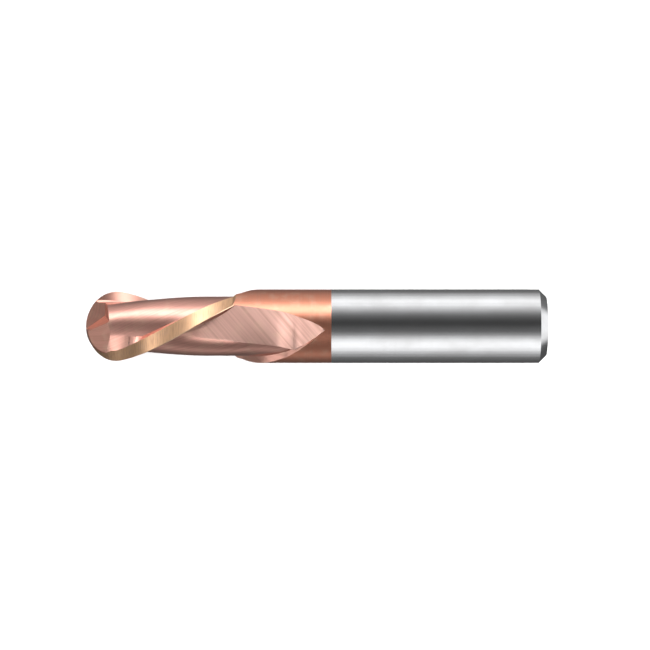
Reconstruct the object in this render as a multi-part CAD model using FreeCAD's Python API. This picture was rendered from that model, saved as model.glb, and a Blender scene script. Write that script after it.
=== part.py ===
"""Two-flute ball-nose end mill: one solid carbide bar, ground, with its front part coated.

The tool's axis is X. The origin is the centre of the flat end of the shank, the cutting
end points to -X and +X leaves the tool through the shank end. The tool lies on its side,
so +Z is up. A distance called s is measured along the axis from the ball's tip. An angle
called phi is measured round the axis from +Z towards +Y, and an angle called alpha is
measured the same way from a cutting edge, back over its land. All lengths are millimetres
and all angles are degrees.
"""

import FreeCAD, Part
import os
from math import cos, degrees, radians, sin, sqrt, tan
from FreeCAD import Vector

# overall sizes
diameter = 12.0            # cutting diameter, ball diameter and shank diameter
overall_length = 75.0
coated_length = 40.0       # from the tip to the coating line
relief_length = 24.0       # length of cut: the land behind each edge is relieved this far
shank_chamfer = 1.2
back_taper = 0.01          # the front part is this much slimmer, in radius, at the coating line

# the coating, drawn far thicker than the real film of about 0.003 mm
coat_thickness = 0.05

# teeth
teeth = 2
helix_angle = 30.0         # left hand: phi grows from the tip towards the shank
edge_angle = 31.9          # phi of the first cutting edge where the relief ends
margin_angle = 1.2         # cylindrical margin left behind the edge
land_angle = 25.5          # alpha of the heel
relief_angle = 9.0         # clearance of the land behind the edge
relief_runout = 0.7        # axial length of the ramp that ends the relief

# flute section, as alphas and as radii over the cutting radius
back_radius_ratio = 0.805  # concentric back of the tooth
core_radius_ratio = 0.63   # floor of the flute under the rake face
back_turn_angle = 80.0     # alpha where the back starts to fall to the core
core_angle = 170.0         # alpha where it has reached the core
fillet_angle = 166.0       # alpha where the fillet under the rake face starts
fillet_height = 0.5        # height of that fillet on the rake face
fillet_runout = 6.0        # length over which it fades out on the imprint
heel_wall_angle = 3.0      # angle round the axis that the steep heel wall takes
heel_facet_length = 9.4    # from the tip, where the wide facet behind the heel ends

# the run-out, where the grinding wheel left the bar; distances along the axis are from
# the end of the relief, and negative ones are towards the tip
runout_start = -8.0        # the wheel's own imprint starts to show
runout_blend = 3.0
wheel_radius = 100.0       # radius of the imprint
wheel_swivel = 49.0        # rulings of the imprint against the tool's axis
wheel_tilt = 4.5           # rulings drop this much towards the heel
runout_end = 15.1          # the imprint leaves the bar
runout_phi = -7.9          # and the angle at which it does
runout_slope = 16.0        # slope of the imprint there, across its rulings
crease_turn = 6.4          # the ridge beside the imprint leaves the helix by this per mm
crease_drop_start = 7.0    # from here the ridge drops on to the imprint
crease_drop_length = 5.0
wall_limit = 45.0          # the rake face stops turning here, outside the bar
back_rise_start = 3.0      # the back of the tooth rises from here
back_rise_end = 12.3       # and reaches the cylinder here
heel_turn_start = 1.5      # the heel line swings away from the helix from here
heel_turn_angle = 24.0     # by this much when the back reaches the cylinder
heel_end_turn = 2.2        # and by this much more per mm from there to the end
crease_clearance = 1.0     # angle by which the ridge stays off the foot of the heel wall
flute_end = 16.0           # the flute cutter is clear of the bar before here

# the ball end
ball_index = -100.4        # the ball's cuts are drawn for an edge that starts at this phi
gash_offset = 0.12         # half the web left between the two gashes on the axis
gash_length = 3.15         # from the tip
gash_slope = 35.0          # side of the gash against the axis
gash_draft = 12.0          # the gash opens outwards by this much
gash_reach = 0.64          # s where the side of the gash crosses the axis
clear_depth = 1.02         # depth of the ball's clearance facet under the ball
clear_lead = 33.0          # its slope along the axis
clear_roll = 11.0          # and its slope across the axis

radius = diameter / 2
outside = 1.4 * radius     # cutters are drawn out to this radius
floor_shares = (0.0, 0.07, 0.18, 0.4, 0.7, 1.0)      # points of the floor, wall to crease
back_shares = (0.0, 0.17, 0.34, 0.5, 0.67, 0.84, 1.0)  # points of the back, crease to foot


def smooth(x):
    """Go from 0 to 1 with no corner at either end."""
    x = min(1.0, max(0.0, x))
    return x * x * (3 - 2 * x)


def edge_phi(s):
    """Angle of the first cutting edge at the station s."""
    return edge_angle + degrees((s - relief_length) * tan(radians(helix_angle)) / radius)


def past(s, start):
    """How far s lies past a station of the run-out."""
    return max(0.0, s - relief_length - start)


def point(s, r, phi):
    return Vector(s - overall_length, r * sin(radians(phi)), r * cos(radians(phi)))


def envelope(s, inset):
    """Radius of the ball and of the cylinder behind it."""
    r = radius - inset
    reach = radius - s
    if reach <= 0:
        return r
    return sqrt(max(0.01, r * r - reach * reach))


# ------------------------------------------------------------------ flute section
def back_radius(s, alpha):
    """Convex back of the tooth: concentric, then falling to the core."""
    fall = smooth((alpha - back_turn_angle) / (core_angle - back_turn_angle))
    ratio = back_radius_ratio - (back_radius_ratio - core_radius_ratio) * fall
    travel = past(s, back_rise_start) / (back_rise_end - back_rise_start)
    return radius * (ratio + (1 - back_radius_ratio) * travel * travel)


def heel_alpha(s):
    """The heel follows the edge, then swings away where the wheel leaves the bar."""
    travel = past(s, heel_turn_start) / (back_rise_end - heel_turn_start)
    swing = heel_turn_angle * sin(radians(90 * min(1.0, travel)))
    return land_angle + swing + heel_end_turn * past(s, back_rise_end)


def heel_foot_alpha(s):
    """Foot of the heel wall. Near the ball the wall is a wide facet with a straight foot."""
    facet = degrees((heel_facet_length - s) * tan(radians(helix_angle)) / radius)
    return heel_alpha(s) + heel_wall_angle + max(0.0, facet)


def heel_radius():
    """Radius that the relieved land has at the heel."""
    width = radians(land_angle - margin_angle) * radius
    return radius - width * tan(radians(relief_angle))


def imprint_z(s, y):
    """Height of the wheel's imprint: a shallow cylinder whose rulings cross the flute."""
    swivel = radians(wheel_swivel)
    ds = s - relief_length - runout_end
    dy = y - radius * sin(radians(runout_phi))
    along = ds * cos(swivel) - dy * sin(swivel)
    across = ds * sin(swivel) + dy * cos(swivel)
    rise = across * tan(radians(runout_slope)) + across * across / (2 * wheel_radius)
    return radius * cos(radians(runout_phi)) + rise - along * tan(radians(wheel_tilt))


def floor_radius(s, phi):
    """Radius of the flute's floor along the ray at phi: the core, then the imprint."""
    core = core_radius_ratio * radius
    if past(s, runout_start) == 0:
        return core
    low, high = 0.3 * radius, outside
    for _ in range(30):
        r = (low + high) / 2
        if r * cos(radians(phi)) < imprint_z(s, r * sin(radians(phi))):
            low = r
        else:
            high = r
    return core + (max(core, low) - core) * smooth(past(s, runout_start) / runout_blend)


def flute_wire(s, inset):
    """Closed section of what the wheels take out of one flute at the station s."""
    edge = edge_phi(s)
    turn = degrees(inset / radius)
    foot = heel_foot_alpha(s) - turn
    crease = fillet_angle - crease_turn * past(s, runout_start)
    crease = max(crease, foot + crease_clearance)
    wall_phi = min(edge, wall_limit) + turn
    crease_phi = edge - 180 + crease
    gap = back_radius(s, crease) - floor_radius(s, crease_phi)
    low = gap * smooth(past(s, crease_drop_start) / crease_drop_length)
    corner = fillet_height * (1 - smooth(past(s, runout_start) / fillet_runout))

    floor = []
    for u in floor_shares:
        phi = wall_phi + u * (crease_phi - wall_phi)
        r = floor_radius(s, phi) + (gap - low) * u + corner * (1 - u) ** 8
        floor.append(point(s, r - inset, phi))

    back = []
    for u in back_shares:
        alpha = crease + (foot - crease) * u
        back.append(point(s, back_radius(s, alpha) - low * (1 - u) - inset, edge - 180 + alpha))

    heel = point(s, max(heel_radius(), back_radius(s, foot) + 0.3), edge - 180 + heel_alpha(s) - turn)
    heel_line = heel - back[-1]
    heel_line.normalize()
    heel_out = back[-1] + heel_line * (outside - 0.5 * radius)
    wall_out = point(s, outside + 1, wall_phi)
    far = point(s, 1.9 * radius, (wall_phi + edge - 180 + heel_alpha(s)) / 2)
    return Part.Wire([
        Part.LineSegment(wall_out, floor[0]).toShape(),
        spline(floor, floor_shares),
        spline(back, back_shares),
        Part.LineSegment(back[-1], heel_out).toShape(),
        Part.Arc(heel_out, far, wall_out).toShape(),
    ])


def spline(points, shares):
    """Curve through the points. Every section uses the same shares, so they loft cleanly."""
    curve = Part.BSplineCurve()
    curve.interpolate(Points=points, Parameters=shares)
    return curve.toShape()


def stations(start, end, step):
    count = round((end - start) / step)
    return [start + (end - start) * i / count for i in range(count + 1)]


def flute_cutter(inset):
    end = relief_length + flute_end
    wires = [flute_wire(s, inset) for s in stations(-1.0, end, 1.0)]
    return Part.makeLoft(wires, True, False)


# ------------------------------------------------------------------ relief of the land
def relief_wire(s, inset, lift):
    """Closed section of what is taken off behind one edge, lifted to end the cut."""
    edge = edge_phi(s)
    turn = degrees(inset / radius)
    size = envelope(s, 0) / radius
    drop = (radius - heel_radius()) * size
    start = point(s, envelope(s, 0) - inset + lift, edge + margin_angle - turn)
    heel = point(s, envelope(s, 0) - drop - inset + lift, edge + land_angle)
    line = heel - start
    before = start - line * 0.35
    after = heel + line * 0.15
    out = radial(s, edge + land_angle / 2) * (0.6 * radius * size)
    corners = [before, after, after + out, before + out, before]
    return Part.makePolygon(corners)


def radial(s, phi):
    return point(s, 1, phi) - point(s, 0, phi)


def relief_cutters(inset):
    ball = [radius * (1 - cos(radians(a))) for a in (12, 18, 26, 36, 48, 60, 75, 90)]
    body = stations(radius + 1, relief_length, 1.0)
    wires = [relief_wire(s, inset, 0.0) for s in ball + body]
    ramp_end = relief_length + relief_runout
    ramp = [relief_wire(relief_length, inset, 0.0), relief_wire(ramp_end, inset, heel_drop())]
    return [Part.makeLoft(wires, True, False), Part.makeLoft(ramp, True, True)]


def heel_drop():
    return 1.3 * (radius - heel_radius())


# ------------------------------------------------------------------ ball end
def gash_cutter(inset):
    """Notch ground in front of one ball edge so that the edge reaches the axis."""
    base = gash_offset - inset
    slope = tan(radians(gash_slope))
    spread = radius * tan(radians(gash_draft))

    def outline(z, grow):
        start = Vector(-1 - overall_length, -slope * (1 + gash_reach) - grow, z)
        turn = Vector(gash_length + grow - overall_length,
                      slope * (gash_length - gash_reach) - grow, z)
        top = Vector(gash_length + grow - overall_length, radius + 1, z)
        back = Vector(-1 - overall_length, radius + 1, z)
        return Part.makePolygon([start, turn, top, back, start])

    return Part.makeLoft([outline(base, inset), outline(base + radius, inset + spread)], True, True)


def clearance_cutter(inset):
    """Everything above the flat clearance facet behind one ball edge."""
    size = 4 * radius
    foot = radius - clear_depth - inset
    block = Part.makeBox(size, size, size, Vector(-size / 2, -size / 2, foot))
    block.rotate(Vector(0, 0, 0), Vector(1, 0, 0), clear_roll)
    block.rotate(Vector(0, 0, 0), Vector(0, 1, 0), -clear_lead)
    block.translate(Vector(radius - overall_length, 0, 0))
    return block


# ------------------------------------------------------------------ the whole tool
def all_round(cutters):
    """The cutters once for each tooth."""
    turned = []
    for tooth in range(teeth):
        for cutter in cutters:
            turned.append(cutter.copy())
            turned[-1].rotate(Vector(0, 0, 0), Vector(1, 0, 0), tooth * 360 / teeth)
    return turned


def head_blank(inset):
    """Ball and back-tapered body, before the teeth are ground."""
    r = radius - inset
    tip = point(inset, 0, 0)
    shoulder = point(radius, r, 0)
    end = point(coated_length, r - back_taper, 0)
    centre = point(coated_length, 0, 0)
    on_ball = point(radius - r * cos(radians(45)), r * sin(radians(45)), 0)
    outline = Part.Wire([
        Part.Arc(tip, on_ball, shoulder).toShape(),
        Part.LineSegment(shoulder, end).toShape(),
        Part.LineSegment(end, centre).toShape(),
        Part.LineSegment(centre, tip).toShape(),
    ])
    return Part.Face(outline).revolve(Vector(0, 0, 0), Vector(1, 0, 0), 360)


def ground_head(inset):
    """The ground front part as far as the coating line, drawn inset by a coat's thickness."""
    head = head_blank(inset)
    ball_cutters = [gash_cutter(inset), clearance_cutter(inset)]
    for cutter in ball_cutters:
        cutter.rotate(Vector(0, 0, 0), Vector(1, 0, 0), ball_index - edge_phi(0))
    cutters = [flute_cutter(inset), *relief_cutters(inset), *ball_cutters]
    for cutter in all_round(cutters):
        head = head.cut(cutter)
    return head


def bare_shank():
    """The uncoated rest of the bar. A flute that runs past the coating line goes on in it."""
    length = overall_length - coated_length
    shank = Part.makeCylinder(radius, length, Vector(-length, 0, 0), Vector(1, 0, 0))
    rim = [e for e in shank.Edges if e.CenterOfMass.x > -0.001 and len(e.Vertexes) == 1]
    return shank.makeChamfer(shank_chamfer, rim[:1]).cut(all_round([flute_cutter(0.0)]))


def is_end(face):
    return abs(face.BoundBox.XMin - (coated_length - overall_length)) < 1e-6


def skin(outer, inner):
    """Film between two nested heads, closed by a ring at the coating line."""
    ends = [next(f for f in shape.Faces if is_end(f)) for shape in (outer, inner)]
    ring = Part.Face([end.OuterWire for end in ends])
    faces = [f for f in outer.Faces if not is_end(f)]
    faces += [f.reversed() for f in inner.Faces if not is_end(f)]
    film = Part.Solid(Part.Shell([*faces, ring]))
    film.fix(1e-6, 1e-6, 1e-5)
    return film


def main():
    os.makedirs("parts", exist_ok=True)
    core = ground_head(coat_thickness)
    coating = skin(ground_head(0.0), core)
    body = core.fuse(bare_shank())
    for name, shape in (("carbide_body", body), ("coating", coating)):
        shape.exportStep("parts/" + name + ".step")
        print(name, shape.isValid(), len(shape.Solids), round(shape.Volume, 3))


main()
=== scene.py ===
"""Coated two-flute ball-nose end mill, lying on its side on a pale table.

The frame is the tool's own: X is its axis, the origin is the centre of the shank's end face
and the ball's tip is at -X. A length called s runs along the axis from the tip, and an angle
called phi goes round the axis from +Z towards +Y. Sizes are worked out in millimetres.
"""

import bpy
from math import atan2, cos, degrees, hypot, pi, radians, sin, sqrt, tan
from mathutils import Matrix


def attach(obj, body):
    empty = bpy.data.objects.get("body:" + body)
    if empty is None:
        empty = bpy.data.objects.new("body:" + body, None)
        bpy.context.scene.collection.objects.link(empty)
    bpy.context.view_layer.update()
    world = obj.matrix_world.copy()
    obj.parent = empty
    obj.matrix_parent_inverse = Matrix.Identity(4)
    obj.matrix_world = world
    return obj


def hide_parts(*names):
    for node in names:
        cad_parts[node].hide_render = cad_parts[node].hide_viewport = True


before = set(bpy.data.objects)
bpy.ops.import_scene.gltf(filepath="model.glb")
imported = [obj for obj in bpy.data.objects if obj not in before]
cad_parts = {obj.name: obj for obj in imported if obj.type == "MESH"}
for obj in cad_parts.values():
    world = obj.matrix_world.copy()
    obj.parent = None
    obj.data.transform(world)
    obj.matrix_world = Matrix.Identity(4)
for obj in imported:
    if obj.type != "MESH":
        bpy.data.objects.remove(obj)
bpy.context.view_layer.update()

# ------------------------------------------------------------------ round bar with a ball end
# The blank is a centreless-ground carbide bar. Its end is first turned to a ball of the same
# diameter, and everything else on the tool's front part is ground out of this shape.
diameter = 12.0
radius = diameter / 2
overall_length = 75.0
coated_length = 40.0
back_taper = 0.01          # how much slimmer the front part is at the coating line
film = 0.05                # the coat's thickness as it is modelled
bar_sides = 240
ball_rings = 40

# what ground each surface, kept on its faces for the finish
OUTSIDE, FLOOR, BACK, WALL, HEEL, LAND, BALL = range(7)


def point(s, r, phi):
    return (s - overall_length, r * sin(radians(phi)), r * cos(radians(phi)))


def loft(name, rings, ground_by):
    """Closed mesh through rings of points, with ground_by naming what each side stands for."""
    count = len(rings[0])
    points = [p for ring in rings for p in ring]
    faces = []
    marks = []
    for row in range(len(rings) - 1):
        for i in range(count):
            j = (i + 1) % count
            low = row * count
            faces.append((low + i, low + j, low + count + j, low + count + i))
            marks.append(ground_by[i % len(ground_by)])
    faces.append(tuple(reversed(range(count))))
    faces.append(tuple(range(len(points) - count, len(points))))
    marks += [ground_by[0], ground_by[0]]
    mesh = bpy.data.meshes.new(name)
    mesh.from_pydata([[c / 1000 for c in p] for p in points], [], faces)
    mesh.attributes.new("ground", "FLOAT", "FACE").data.foreach_set("value", marks)
    volume = 0.0
    for face in faces:
        a = mesh.vertices[face[0]].co
        for b, c in zip(face[1:-1], face[2:]):
            volume += a.dot(mesh.vertices[b].co.cross(mesh.vertices[c].co))
    if volume < 0:
        mesh.flip_normals()
    return mesh


def blank(inset, end):
    """The bar as far as the station s = end, drawn smaller all round by inset."""
    size = radius - inset
    profile = [(inset + size * (1 - cos(radians(a))), size * sin(radians(a)))
               for a in [0.4] + [90 * (i + 1) / ball_rings for i in range(ball_rings)]]
    straight = round(end - radius)
    for i in range(straight):
        share = (i + 1) / straight
        profile.append((radius + (end - radius) * share, size - back_taper * share))
    rings = [[point(s, r, 360 * i / bar_sides) for i in range(bar_sides)] for s, r in profile]
    return loft("blank", rings, [OUTSIDE])


# ------------------------------------------------------------------ flutes
# Each flute is ground by the rim of a wheel that follows the helix: a flat rake face, a
# round root, the convex back of the next tooth and the step up to its heel. Where the wheel
# lifts off, it leaves its own shallow round imprint across the bar.
teeth = 2
helix_angle = 30.0
relief_length = 24.0
edge_angle = 31.9          # phi of the first edge where the relief ends
margin_angle = 1.2         # round strip left behind the edge
land_angle = 25.5          # from the edge to the heel
relief_angle = 9.0
back_ratio = 0.805         # the tooth back, as a share of the radius
core_ratio = 0.63          # the flute floor, as a share of the radius
back_turn = 80.0
core_angle = 170.0         # where the back has come down to the floor
fillet_angle = 166.0
fillet_height = 0.5        # round root under the rake face
fillet_runout = 6.0
heel_wall_angle = 3.0
heel_facet_length = 9.4
runout_start = -8.0        # run-out stations are counted from the end of relief
runout_blend = 3.0
wheel_radius = 100.0
wheel_swivel = 49.0
wheel_tilt = 4.5
runout_end = 15.1
runout_phi = -7.9
runout_slope = 16.0
crease_turn = 6.4
crease_drop_start = 7.0
crease_drop_length = 5.0
wall_limit = 45.0
back_rise_start = 3.0
back_rise_end = 12.3
heel_turn_start = 1.5
heel_turn = 24.0
heel_end_turn = 2.2
crease_clearance = 1.0
flute_end = 16.0
flute_step = 0.25
floor_points = 22
back_points = 22
outside = 1.4 * radius     # cutters stand proud of the bar as far as this


def smooth(x):
    x = min(1.0, max(0.0, x))
    return x * x * (3 - 2 * x)


def edge_phi(s):
    return edge_angle + degrees((s - relief_length) * tan(radians(helix_angle)) / radius)


def past(s, start):
    return max(0.0, s - relief_length - start)


def back_radius(s, alpha):
    fall = smooth((alpha - back_turn) / (core_angle - back_turn))
    travel = past(s, back_rise_start) / (back_rise_end - back_rise_start)
    return radius * (back_ratio - (back_ratio - core_ratio) * fall
                     + (1 - back_ratio) * travel * travel)


def heel_alpha(s):
    travel = past(s, heel_turn_start) / (back_rise_end - heel_turn_start)
    swing = heel_turn * sin(radians(90 * min(1.0, travel)))
    return land_angle + swing + heel_end_turn * past(s, back_rise_end)


def heel_foot_alpha(s):
    facet = degrees((heel_facet_length - s) * tan(radians(helix_angle)) / radius)
    return heel_alpha(s) + heel_wall_angle + max(0.0, facet)


heel_radius = radius - radians(land_angle - margin_angle) * radius * tan(radians(relief_angle))


def imprint_z(s, y):
    ds = s - relief_length - runout_end
    dy = y - radius * sin(radians(runout_phi))
    along = ds * cos(radians(wheel_swivel)) - dy * sin(radians(wheel_swivel))
    across = ds * sin(radians(wheel_swivel)) + dy * cos(radians(wheel_swivel))
    rise = across * tan(radians(runout_slope)) + across * across / (2 * wheel_radius)
    return radius * cos(radians(runout_phi)) + rise - along * tan(radians(wheel_tilt))


def floor_radius(s, phi):
    core = core_ratio * radius
    if past(s, runout_start) == 0:
        return core
    low, high = 0.3 * radius, outside
    for _ in range(24):
        r = (low + high) / 2
        if r * cos(radians(phi)) < imprint_z(s, r * sin(radians(phi))):
            low = r
        else:
            high = r
    return core + (max(core, low) - core) * smooth(past(s, runout_start) / runout_blend)


def flute_ring(s, inset):
    """Section of what the wheels take out of one flute at the station s."""
    edge = edge_phi(s)
    turn = degrees(inset / radius)
    foot = heel_foot_alpha(s) - turn
    crease = max(fillet_angle - crease_turn * past(s, runout_start), foot + crease_clearance)
    wall_phi = min(edge, wall_limit) + turn
    crease_phi = edge - 180 + crease
    gap = back_radius(s, crease) - floor_radius(s, crease_phi)
    low = gap * smooth(past(s, crease_drop_start) / crease_drop_length)
    corner = fillet_height * (1 - smooth(past(s, runout_start) / fillet_runout))
    ring = [point(s, outside + 1, wall_phi)]
    for i in range(floor_points):
        u = (i / (floor_points - 1)) ** 1.4
        phi = wall_phi + u * (crease_phi - wall_phi)
        r = floor_radius(s, phi) + (gap - low) * u + corner * (1 - u) ** 8
        ring.append(point(s, r - inset, phi))
    for i in range(1, back_points):
        u = i / (back_points - 1)
        alpha = crease + (foot - crease) * u
        ring.append(point(s, back_radius(s, alpha) - low * (1 - u) - inset, edge - 180 + alpha))
    foot_point = ring[-1]
    heel_at = max(heel_radius, back_radius(s, foot) + 0.3)
    heel = point(s, heel_at, edge - 180 + heel_alpha(s) - turn)
    line = [h - f for h, f in zip(heel, foot_point)]
    length = hypot(*line)
    reach = outside - 0.5 * radius
    heel_out = tuple(f + c / length * reach for f, c in zip(foot_point, line))
    ring.append(heel_out)
    first = degrees(atan2(heel_out[1], heel_out[2]))
    while first > wall_phi:
        first -= 360
    for i in range(1, 12):
        phi = first + (wall_phi - first) * i / 12
        ring.append(point(s, (outside + 1) * (1 + 0.5 * sin(pi * i / 12)), phi))
    return ring


flute_sides = [WALL] + [FLOOR] * (floor_points - 1) + [BACK] * (back_points - 1) + [HEEL] * 13


def flute_cutter(inset):
    length = relief_length + flute_end + 1
    count = round(length / flute_step)
    rings = [flute_ring(length * i / count - 1, inset) for i in range(count + 1)]
    return loft("flute", rings, flute_sides)


# ------------------------------------------------------------------ relief of the lands
# Behind each cutting edge the land is ground down a few degrees with a cup wheel, all the
# way round the ball and along the length of cut, and it ends in a short ramp.
relief_runout = 0.7
relief_step = 0.25
relief_before = 0.35       # the wheel reaches past both sides of the land, as shares of it
relief_after = 0.15


def land_ring(s, inset, lift):
    reach = radius - min(s, radius)
    size = sqrt(max(0.01, radius * radius - reach * reach))
    edge = edge_phi(s)
    drop = (radius - heel_radius) * size / radius
    turn = degrees(inset / radius)
    start = point(s, size - inset + lift, edge + margin_angle - turn)
    heel = point(s, size - drop - inset + lift, edge + land_angle)
    line = [h - a for h, a in zip(heel, start)]
    before = [a - relief_before * c for a, c in zip(start, line)]
    after = [h + relief_after * c for h, c in zip(heel, line)]
    out = point(0, 0.6 * size, edge + land_angle / 2)
    lift_out = [0, out[1], out[2]]
    return [before, after, [a + c for a, c in zip(after, lift_out)],
            [a + c for a, c in zip(before, lift_out)]]


def land_cutter(inset):
    ball = [radius * (1 - cos(radians(a))) for a in range(12, 90, 3)]
    count = round((relief_length - radius) / relief_step)
    body = [radius + (relief_length - radius) * i / count for i in range(count + 1)]
    rings = [land_ring(s, inset, 0.0) for s in ball + body]
    lift = 1.3 * (radius - heel_radius)
    rings.append(land_ring(relief_length + relief_runout, inset, lift))
    return loft("land", rings, [LAND])


# ------------------------------------------------------------------ gash and facet of the ball
# A thin wheel notches the ball in front of each edge, so that the edge reaches the axis, and
# a flat clearance facet is ground behind it.
ball_index = -100.4
gash_offset = 0.12
gash_length = 3.15
gash_slope = 35.0
gash_draft = 12.0
gash_reach = 0.64
clear_depth = 1.02
clear_lead = 33.0
clear_roll = 11.0


def turned(p, angle):
    c, s = cos(radians(angle)), sin(radians(angle))
    return (p[0], p[1] * c + p[2] * s, p[2] * c - p[1] * s)


def gash_cutter(inset):
    slope = tan(radians(gash_slope))
    spread = radius * tan(radians(gash_draft))

    def outline(z, grow):
        corners = [(-1, -slope * (1 + gash_reach) - grow),
                   (gash_length + grow, slope * (gash_length - gash_reach) - grow),
                   (gash_length + grow, radius + 1), (-1, radius + 1)]
        return [turned((x - overall_length, y, z), edge_phi(0) - ball_index) for x, y in corners]

    base = gash_offset - inset
    return loft("gash", [outline(base, inset), outline(base + radius, inset + spread)], [BALL])


def facet_cutter(inset):
    half = 2 * radius
    foot = radius - clear_depth - inset
    rings = []
    for z in (foot, foot + 4 * radius):
        ring = []
        for x, y in ((-half, -half), (half, -half), (half, half), (-half, half)):
            c, s = cos(radians(clear_roll)), sin(radians(clear_roll))
            y, w = y * c - z * s, y * s + z * c
            c, s = cos(radians(clear_lead)), sin(radians(clear_lead))
            x, w = x * c - w * s, x * s + w * c
            corner = (x + radius - overall_length, y, w)
            ring.append(turned(corner, edge_phi(0) - ball_index))
        rings.append(ring)
    return loft("facet", rings, [BALL])


# ------------------------------------------------------------------ grinding all teeth
# The same cuts are made once for each tooth, indexed evenly round the bar.
def link(tree, start, end):
    tree.links.new(start, end)


def indexed_grinding():
    tree = bpy.data.node_groups.new("indexed_grinding", "GeometryNodeTree")
    face = tree.interface
    face.new_socket("Blank", in_out="INPUT", socket_type="NodeSocketGeometry")
    teeth_in = face.new_socket("Teeth", in_out="INPUT", socket_type="NodeSocketInt")
    names = ["Flute", "Land", "Gash", "Facet"]
    cuts = [face.new_socket(n, in_out="INPUT", socket_type="NodeSocketObject") for n in names]
    finish = face.new_socket("Finish", in_out="INPUT", socket_type="NodeSocketMaterial")
    face.new_socket("Tool", in_out="OUTPUT", socket_type="NodeSocketGeometry")
    node = tree.nodes.new
    entry, leave = node("NodeGroupInput"), node("NodeGroupOutput")
    first, last = node("GeometryNodeRepeatInput"), node("GeometryNodeRepeatOutput")
    first.pair_with_output(last)
    link(tree, entry.outputs["Teeth"], first.inputs["Iterations"])
    link(tree, entry.outputs["Blank"], first.inputs["Geometry"])
    pitch = node("ShaderNodeMath")
    pitch.operation = "DIVIDE"
    pitch.inputs[0].default_value = 2 * pi
    link(tree, entry.outputs["Teeth"], pitch.inputs[1])
    angle = node("ShaderNodeMath")
    angle.operation = "MULTIPLY"
    link(tree, first.outputs["Iteration"], angle.inputs[0])
    link(tree, pitch.outputs[0], angle.inputs[1])
    turn = node("ShaderNodeCombineXYZ")
    link(tree, angle.outputs[0], turn.inputs["X"])
    work = first.outputs["Geometry"]
    for name in names:
        wheel = node("GeometryNodeObjectInfo")
        link(tree, entry.outputs[name], wheel.inputs["Object"])
        index = node("GeometryNodeTransform")
        link(tree, wheel.outputs["Geometry"], index.inputs["Geometry"])
        link(tree, turn.outputs[0], index.inputs["Rotation"])
        grind = node("GeometryNodeMeshBoolean")
        grind.operation = "DIFFERENCE"
        grind.solver = "MANIFOLD"
        link(tree, work, grind.inputs["Mesh 1"])
        link(tree, index.outputs["Geometry"], grind.inputs["Mesh 2"])
        work = grind.outputs["Mesh"]
    link(tree, work, last.inputs["Geometry"])
    real = node("GeometryNodeRealizeInstances")
    link(tree, last.outputs["Geometry"], real.inputs["Geometry"])
    paint = node("GeometryNodeSetMaterial")
    link(tree, real.outputs["Geometry"], paint.inputs["Geometry"])
    link(tree, entry.outputs["Finish"], paint.inputs["Material"])
    link(tree, paint.outputs["Geometry"], leave.inputs["Tool"])
    return tree, teeth_in, cuts, finish


grinding, teeth_in, cuts_in, finish_in = indexed_grinding()


def ground_head(inset, end, finish):
    """The bar after all its cuts, as a plain mesh."""
    work = bpy.data.objects.new("work", blank(inset, end))
    bpy.context.scene.collection.objects.link(work)
    meshes = [flute_cutter(inset), land_cutter(inset), gash_cutter(inset), facet_cutter(inset)]
    wheels = [bpy.data.objects.new(mesh.name, mesh) for mesh in meshes]
    grind = work.modifiers.new("grinding", "NODES")
    grind.node_group = grinding
    grind[teeth_in.identifier] = teeth
    for socket, wheel in zip(cuts_in, wheels):
        grind[socket.identifier] = wheel
    grind[finish_in.identifier] = finish
    bpy.context.view_layer.update()
    seen = work.evaluated_get(bpy.context.evaluated_depsgraph_get())
    mesh = bpy.data.meshes.new_from_object(seen)
    for thing in [work, *wheels]:
        bpy.data.objects.remove(thing)
    return mesh


# ------------------------------------------------------------------ ground carbide finish
# The shank is ground round and bright between two wheels, which leaves very fine rings, with
# a few stronger ones and a slight haze where a collet has gripped it.
class Shade:
    """An output of a node. Arithmetic on it adds Math nodes to the same tree."""

    def __init__(self, nodes, socket):
        self.nodes = nodes
        self.socket = socket

    def math(self, operation, a, b):
        return self.nodes.node("ShaderNodeMath", {"operation": operation}, {0: a, 1: b})

    def __add__(self, other):
        return self.math("ADD", self, other)

    __radd__ = __add__

    def __sub__(self, other):
        return self.math("SUBTRACT", self, other)

    def __rsub__(self, other):
        return self.math("SUBTRACT", other, self)

    def __mul__(self, other):
        return self.math("MULTIPLY", self, other)

    __rmul__ = __mul__

    def __truediv__(self, other):
        return self.math("DIVIDE", self, other)

    def __rtruediv__(self, other):
        return self.math("DIVIDE", other, self)


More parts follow.
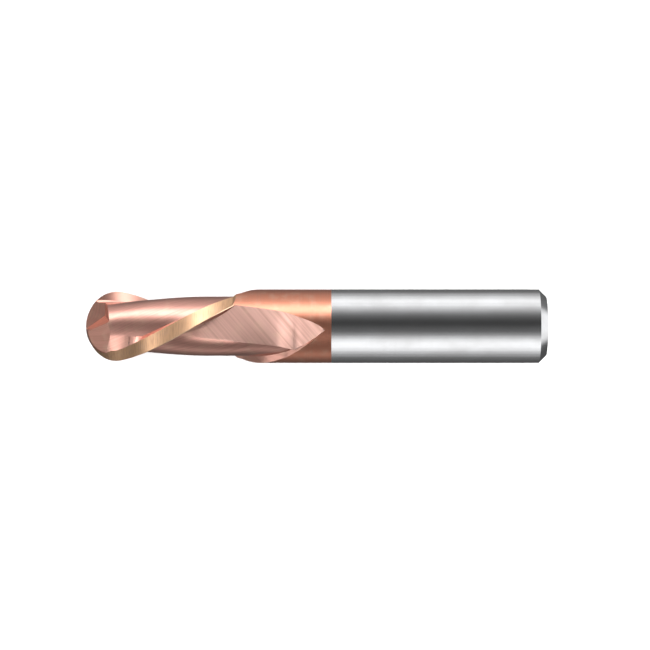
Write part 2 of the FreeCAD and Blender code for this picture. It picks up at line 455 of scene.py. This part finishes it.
class Nodes:
    """A node tree that is written as expressions."""

    def __init__(self, tree):
        self.tree = tree

    def node(self, kind, settings, sockets, out=0):
        made = self.tree.nodes.new(kind)
        for name, value in settings.items():
            if name == "stops":
                made.color_ramp.elements[0].position = value[0][0]
                made.color_ramp.elements[1].position = value[-1][0]
                for place, _ in value[1:-1]:
                    made.color_ramp.elements.new(place)
                for element, (_, colour) in zip(made.color_ramp.elements, value):
                    element.color = (*colour, 1)
            else:
                setattr(made, name, value)
        for name, value in sockets.items():
            self.put(made.inputs[name], value)
        return Shade(self, made.outputs[out])

    def put(self, socket, value):
        if isinstance(value, Shade):
            self.tree.links.new(value.socket, socket)
        elif isinstance(value, tuple) and socket.type == "RGBA":
            socket.default_value = (*value, 1)
        else:
            socket.default_value = value

    def step(self, value, start, end):
        """0 below start, 1 above end, and smooth between."""
        sockets = {"Value": value, "From Min": start, "From Max": end}
        return self.node("ShaderNodeMapRange", {"interpolation_type": "SMOOTHSTEP"}, sockets)

    def blend(self, share, first, second):
        kind = {"data_type": "RGBA"}
        return self.node("ShaderNodeMix", kind, {0: share, 6: first, 7: second}, 2)

    def vector(self, x, y, z):
        return self.node("ShaderNodeCombineXYZ", {}, {"X": x, "Y": y, "Z": z})

    def noise(self, x, y, z, detail=2.0):
        where = self.vector(x, y, z)
        return self.node("ShaderNodeTexNoise", {}, {"Vector": where, "Scale": 1.0, "Detail": detail})


class Finish(Nodes):
    """A material with a Principled surface."""

    def __init__(self, name):
        self.material = bpy.data.materials.new(name)
        self.material.use_nodes = True
        super().__init__(self.material.node_tree)
        self.surface = self.tree.nodes["Principled BSDF"]

    def set(self, **values):
        """Puts values on the surface's sockets, with _ for the spaces in their names."""
        for name, value in values.items():
            self.put(self.surface.inputs[name.replace("_", " ")], value)

    def place(self):
        """Millimetres along and across the tool, from the object's own coordinates."""
        at = self.node("ShaderNodeTexCoord", {}, {}, 3)
        x, y, z = [self.node("ShaderNodeSeparateXYZ", {}, {0: at}, i) * 1000 for i in range(3)]
        return x + overall_length, y, z

    def bump(self, height, depth):
        """Bump of a height that runs from 0 to 1, with the depth in millimetres."""
        return self.node("ShaderNodeBump", {}, {"Height": height, "Distance": depth / 1000})


ground = Finish("ground_carbide")
s, y, z = ground.place()
rings = ground.noise(s * 9, 0.0, y * 0.02, 4.0)
fine_rings = ground.noise(s * 55, y * 0.4, z * 0.4, 1.0)
haze = ground.noise(s * 0.16, y * 0.25, z * 0.25, 3.0)
gripped = ground.step(haze, 0.5, 0.75)
bright_carbide = (0.565, 0.57, 0.58)
hazy_carbide = (0.50, 0.50, 0.505)
ring_depth = 0.0006
ground.set(
    Base_Color=ground.blend(
        ground.step(haze + rings * 0.4, 0.5, 0.95), bright_carbide, hazy_carbide),
    Metallic=1.0,
    Roughness=0.15 + rings * 0.06 + gripped * 0.05,
    Normal=ground.bump(rings * 0.6 + fine_rings * 0.4, ring_depth))

# ------------------------------------------------------------------ coating finish
# A hard copper-coloured film a few thousandths thick covers the ground front part. It shows
# the marks of every wheel under it and differs in tint from one cut to the next. A darker tint
# on the ball is painted shade, and paler tints on the rim wall and on the margins behind the
# edges are painted highlights.
copper = Finish("copper_coating")
s, y, z = copper.place()
cut = copper.node("ShaderNodeAttribute", {"attribute_name": "ground"}, {}, 2)


def ground_on(kind):
    return copper.node("ShaderNodeMath", {"operation": "COMPARE"}, {0: cut, 1: kind, 2: 0.4})


turn = copper.node("ShaderNodeMath", {"operation": "ARCTAN2"}, {0: y, 1: z})
round_way = turn * radius
helix_way = round_way - s * tan(radians(helix_angle))
from_tip = s - relief_length - runout_end
wheel_way = from_tip * sin(radians(wheel_swivel)) + y * cos(radians(wheel_swivel))
on_flute = ground_on(FLOOR) + ground_on(BACK)
on_imprint = ground_on(FLOOR) * copper.step(s, relief_length + runout_start, relief_length - 3)
on_land = ground_on(LAND)
on_outside = ground_on(OUTSIDE)
# the margin strips behind the edges, which get a pale-gold painted highlight below
margin_highlight = (on_outside * copper.step(s, 8, 10)
             * (1 - copper.step(s, relief_length, relief_length + 0.3)))
along_flute = copper.noise(helix_way * 3.4, s * 0.10, 0.0, 3.0)
across_wheel = copper.noise(wheel_way * 2.3, s * 0.05, 0.0, 3.0)
fine_wheel = copper.noise(wheel_way * 9.0, s * 0.3, 0.0, 2.0)
land_marks = copper.noise(s * 6.0, helix_way * 0.5, 0.0, 3.0)
bar_marks = copper.noise(s * 5.0, y * 0.05, z * 0.05, 4.0)
clouds = copper.noise(s * 0.5, y * 0.5, z * 0.5, 3.0)
marks = (along_flute * (on_flute - on_imprint) + across_wheel * on_imprint
         + land_marks * on_land + bar_marks * on_outside
         + along_flute * (1 - on_flute - on_land - on_outside))
# the rim wall past the end of relief, given a paler tint as a painted highlight
rim_highlight = ground_on(WALL) * copper.step(s, relief_length, relief_length + 3)

# the film's tint on each cut, laid over the tint of the flute's floor; the ball's darker tint is
# painted shade of its deep gash, and the rim's paler tint a painted highlight
tint = (0.80, 0.42, 0.34)
for share, colour in [(on_land, (0.86, 0.53, 0.31)), (ground_on(BALL), (0.72, 0.37, 0.29)),
                      (rim_highlight, (0.90, 0.66, 0.55)), (on_imprint, (0.86, 0.52, 0.44)),
                      (ground_on(BACK), (0.79, 0.41, 0.34)), (on_outside, (0.78, 0.32, 0.21))]:
    tint = copper.blend(share, tint, colour)

# darker in the grinding marks, paler in clouds, and paler gold on the margins behind the edges as a
# painted highlight
dark_marks = copper.step(marks, 0.38, 0.72) * (0.45 - on_outside * 0.3)
pale_clouds = copper.step(clouds, 0.45, 0.8) * 0.35
for share, colour in [(dark_marks, (0.52, 0.27, 0.20)), (pale_clouds, (0.86, 0.60, 0.44)),
                      (margin_highlight * 0.7, (0.90, 0.72, 0.50))]:
    tint = copper.blend(share, tint, colour)
mark_depth = 0.0020
copper.set(
    Base_Color=tint,
    Metallic=1.0,
    Roughness=0.24 + on_land * 0.05 + on_imprint * 0.03 + marks * 0.10 + clouds * 0.05,
    Normal=copper.bump(
        marks * (1 - on_outside * 0.9) + fine_wheel * on_imprint * 0.2, mark_depth))

# ------------------------------------------------------------------ coated front part
# The film follows the ground shape everywhere and ends at a crisp masking line round the bar.
crease_limit = 14.0


def combine(first, second, operation):
    """One plain mesh from two solids."""
    work = bpy.data.objects.new("work", first)
    other = bpy.data.objects.new("other", second)
    bpy.context.scene.collection.objects.link(work)
    join = work.modifiers.new("join", "BOOLEAN")
    join.operation = operation
    join.solver = "MANIFOLD"
    join.object = other
    seen = work.evaluated_get(bpy.context.evaluated_depsgraph_get())
    mesh = bpy.data.meshes.new_from_object(seen)
    bpy.data.objects.remove(work)
    bpy.data.objects.remove(other)
    return mesh


def finished(name, mesh, finish, node):
    """The piece with crisp edges between its cuts, standing for its CAD node."""
    mesh.materials.clear()
    mesh.materials.append(finish.material)
    mesh.polygons.foreach_set("material_index", [0] * len(mesh.polygons))
    mesh.shade_smooth()
    mesh.set_sharp_from_angle(angle=radians(crease_limit))
    mesh.name = name
    piece = bpy.data.objects.new(name, mesh)
    bpy.context.scene.collection.objects.link(piece)
    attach(piece, "root")
    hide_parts(node)
    return piece


outer = ground_head(0.0, coated_length, copper.material)
core = ground_head(film, coated_length + 1, ground.material)
coat = combine(outer, core, "DIFFERENCE")
coating = finished("coating_film", coat, copper, "coating")

# ------------------------------------------------------------------ carbide body
# One bar of sintered carbide from end to end: bare on the shank, where it ends in a ground
# chamfer and a flat end face, and under the film in front.
shank_chamfer = 1.2


def shank():
    profile = [(coated_length, radius)]
    profile += [(coated_length + 1 + i, radius) for i in range(33)]
    profile += [(overall_length - shank_chamfer, radius),
                (overall_length, radius - shank_chamfer)]
    rings = [[point(s, r, 360 * i / bar_sides) for i in range(bar_sides)] for s, r in profile]
    return loft("shank", rings, [OUTSIDE])


body = combine(shank(), core, "UNION")
bar = finished("carbide_bar", body, ground, "carbide_body")

# ------------------------------------------------------------------ table
# A plain white matt sheet that the tool lies on.
table_top = -radius / 1000
sheet = Finish("white_sheet")
s, y, z = sheet.place()
grain = sheet.noise(s * 0.8, y * 0.8, z * 0.8, 4.0)
sheet.set(Base_Color=sheet.blend(grain, (0.86, 0.86, 0.86), (0.88, 0.88, 0.88)), Roughness=0.75)
sheet_mesh = bpy.data.meshes.new("table")
half = 1.5
corners = [(-half, -half), (half, -half), (half, half), (-half, half)]
sheet_mesh.from_pydata([(x, y, table_top) for x, y in corners], [], [(0, 1, 2, 3)])
sheet_mesh.materials.append(sheet.material)
table = bpy.data.objects.new("table", sheet_mesh)
bpy.context.scene.collection.objects.link(table)
table.visible_glossy = False
table.visible_shadow = False

# ------------------------------------------------------------------ studio light
# Long soft boxes stand on both sides of the tool, with smaller ones towards its tip. Some
# light only the bar or only the coated part.
strip_distance = 0.45
strip_length = 0.95
middle = (-0.036, 0.0, 0.0)


def soft_box(name, centre, towards, lift, distance, width, length, glow, only=None):
    """A soft box that faces centre: towards is its bearing from there and lift its elevation."""
    lamp = bpy.data.lights.new(name, "AREA")
    lamp.shape = "RECTANGLE"
    lamp.size = length
    lamp.size_y = width
    lamp.energy = glow * pi * width * length
    box = bpy.data.objects.new(name, lamp)
    bpy.context.scene.collection.objects.link(box)
    a, e = radians(towards), radians(lift)
    way = (cos(e) * cos(a), cos(e) * sin(a), sin(e))
    box.location = [c + distance * w for c, w in zip(centre, way)]
    box.rotation_euler = (pi / 2 - e, 0, a + pi / 2)
    box.visible_camera = False
    if only:
        box.light_linking.receiver_collection = only
    return box


def lit_alone(name, piece):
    """The group of pieces that a soft box lights by itself."""
    group = bpy.data.collections.new(name)
    group.objects.link(piece)
    return group


on_bar = lit_alone("lit_bar", bar)
on_coating = lit_alone("lit_coating", coating)
soft_box("tip_end", middle, 180, 20, 0.5, 0.16, 0.25, 1.5, on_coating)
soft_box("near_corner", middle, -125, 50, 0.5, 0.13, 0.16, 2.1, on_coating)
soft_box("over_tip", (-0.1935, -0.11, 0.0), 180, 90, 0.377, 0.083, 0.62, 1.20, on_coating)
overhead = soft_box("overhead", middle, 0, 90, 0.8, 1.2, 1.2, 5.0)
overhead.visible_glossy = False

# Strips of the long boxes beside the tool: from one angle to another from straight up
# towards +Y, and how bright.
strips = [(on_bar, -30, -20, 0.20), (on_bar, -40, -30, 0.70), (on_bar, -50, -40, 1.25),
          (on_bar, -72, -50, 1.60), (on_bar, -84, -72, 1.20), (on_bar, -96, -84, 0.60),
          (on_bar, -110, -96, 0.22), (on_bar, 66, 78, 0.60), (on_bar, 78, 94, 0.95),
          (on_bar, 94, 108, 0.60), (on_bar, 108, 124, 0.22),
          (on_coating, 22, 32, 0.15), (on_coating, 32, 42, 0.80), (on_coating, 42, 54, 2.60),
          (on_coating, 54, 68, 1.70), (on_coating, 68, 80, 0.30), (on_coating, -110, -90, 0.20)]
for count, (lit, start, end, glow) in enumerate(strips):
    angle = (start + end) / 2
    side = 90 if angle > 0 else -90
    width = 2 * strip_distance * tan(radians((end - start) / 2))
    soft_box(f"strip_{count}", middle, side, 90 - abs(angle), strip_distance, width,
             strip_length, glow, lit)

# The tent round the table: dark overhead, paler at both sides, grey low down. Each stop is
# an angle from straight up towards +Y, and how bright the tent is there.
tent = [(-180, 0.056), (-142, 0.067), (-120, 0.13), (-103, 0.18), (-89, 0.17), (-77, 0.145),
        (-65, 0.112), (-54, 0.112), (-44, 0.15), (-34, 0.145), (-25, 0.12), (-15, 0.11),
        (-6, 0.085), (4, 0.047), (13, 0.042), (22, 0.069), (32, 0.117), (42, 0.231),
        (52, 0.45), (63, 0.70), (74, 0.54), (86, 0.46), (100, 0.375), (116, 0.285),
        (136, 0.14), (180, 0.056)]
shank_reflects = 0.56
world = bpy.data.worlds.new("tent")
world.use_nodes = True
bpy.context.scene.world = world
room = Nodes(world.node_tree)
towards = room.node("ShaderNodeTexCoord", {}, {}, 0)
ahead, side, up = [room.node("ShaderNodeSeparateXYZ", {}, {0: towards}, i) for i in range(3)]
around = room.node("ShaderNodeMath", {"operation": "ARCTAN2"}, {0: side, 1: up})
stops = [((a + 180) / 360, (b, b, b)) for a, b in tent]
glow = room.node("ShaderNodeValToRGB", {"stops": stops}, {0: around / (2 * pi) + 0.5})
shank_end_glow = (0.9, 0.9, 0.9)
background = world.node_tree.nodes["Background"]
room.put(background.inputs["Color"],
         room.blend(room.step(ahead, 0.82, 0.95), glow, shank_end_glow))
background.inputs["Strength"].default_value = 1 / shank_reflects
bpy.context.scene.view_settings.view_transform = "Standard"

# ------------------------------------------------------------------ camera
# It looks straight down on the tool, with the ball to the left and the shank to the right.
camera_height = 0.450
frame_width = 0.106
frame_middle = (-0.03603, 0.00019)
lens = bpy.data.cameras.new("camera")
lens.sensor_width = 36
lens.lens = 36 * camera_height / frame_width
camera = bpy.data.objects.new("camera", lens)
camera.location = (*frame_middle, camera_height)
bpy.context.scene.collection.objects.link(camera)
bpy.context.scene.camera = camera
